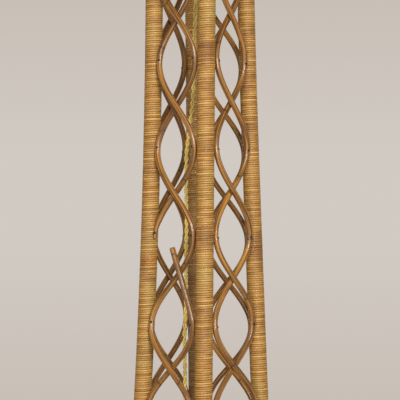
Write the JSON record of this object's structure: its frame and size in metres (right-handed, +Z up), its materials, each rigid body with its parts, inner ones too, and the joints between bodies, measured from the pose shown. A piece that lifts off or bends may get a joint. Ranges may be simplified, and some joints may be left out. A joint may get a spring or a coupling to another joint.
{
  "type": "floor lamp",
  "caption": "Rattan floor lamp: a flared square column of cane-bound posts with woven strips between them, a twisted flex inside, a wooden top disc and a linen shade.",
  "frame": {"origin": "on the floor under the lamp's axis, in the plane of the foot glides' undersides", "axes": "+Z up the column; -Y towards the front post; +X towards the right post"},
  "size_m": [0.4, 0.4, 1.5443],
  "materials": {
    "rattan_pole": "raw rattan pole, matt",
    "cane_binding": "golden tan cane with a soft shine",
    "rattan_strip": "brown rattan with a satin skin",
    "wood": "waxed turned beech, stained brown",
    "brass": "aged brass",
    "steel": "bright zinc plate",
    "bakelite": "dark brown moulded plastic",
    "ceramic": "white glazed insert",
    "bulb_glass": "clear glass",
    "linen": "natural linen on a stiff lining",
    "silk_flex": "gold silk braid on two twisted cores",
    "rubber": "dark rubber"
  },
  "bodies": {
    "lamp": {"post_core_front": "rattan_pole", "post_binding_front": "cane_binding", "hoop_screw_front": "brass", "disc_screw_front": "brass", "foot_glide_front": "rubber", "post_core_right": "rattan_pole", "post_binding_right": "cane_binding", "hoop_screw_right": "brass", "disc_screw_right": "brass", "foot_glide_right": "rubber", "post_core_back": "rattan_pole", "post_binding_back": "cane_binding", "hoop_screw_back": "brass", "disc_screw_back": "brass", "foot_glide_back": "rubber", "post_core_left": "rattan_pole", "post_binding_left": "cane_binding", "hoop_screw_left": "brass", "disc_screw_left": "brass", "foot_glide_left": "rubber", "base_hoop": "rattan_strip", "front_right_strip_b": "rattan_strip", "front_right_strip_a": "rattan_strip", "back_right_strip_b": "rattan_strip", "back_right_strip_a": "rattan_strip", "back_left_strip_b": "rattan_strip", "back_left_strip_a": "rattan_strip", "front_left_strip_b": "rattan_strip", "front_left_strip_a_upper": "rattan_strip", "front_left_strip_a_lower": "rattan_strip", "top_disc": "wood", "nipple": "steel", "nipple_washer": "steel", "nipple_nut": "brass", "cord_bush": "bakelite", "brass_cup": "brass", "lampholder_base": "bakelite", "lampholder_insert": "ceramic", "lampholder_shell": "bakelite", "bulb_cap": "steel", "bulb_glass": "bulb_glass", "shade_cover": "linen", "shade_ring_bottom": "brass", "shade_ring_top": "brass", "shade_carrier": "brass", "shade_retainer": "bakelite", "flex_in_column": "silk_flex", "flex_to_coil": "silk_flex", "flex_to_plug": "silk_flex", "flex_coil": "silk_flex", "coil_tie": "rubber", "switch_base": "bakelite", "switch_cover": "bakelite", "switch_gland_in": "rubber", "switch_gland_out": "rubber", "plug_body": "bakelite", "plug_gland": "rubber", "plug_pin_left": "steel", "plug_pin_right": "steel"},
    "button": {"switch_button": "bakelite"}
  },
  "joints": [
    {"name": "button_press", "type": "slide", "parent": "lamp", "child": "button", "axis": [0, 0, -1], "range_m": [0, 0.004], "stiffness_N_per_m": 700}
  ]
}
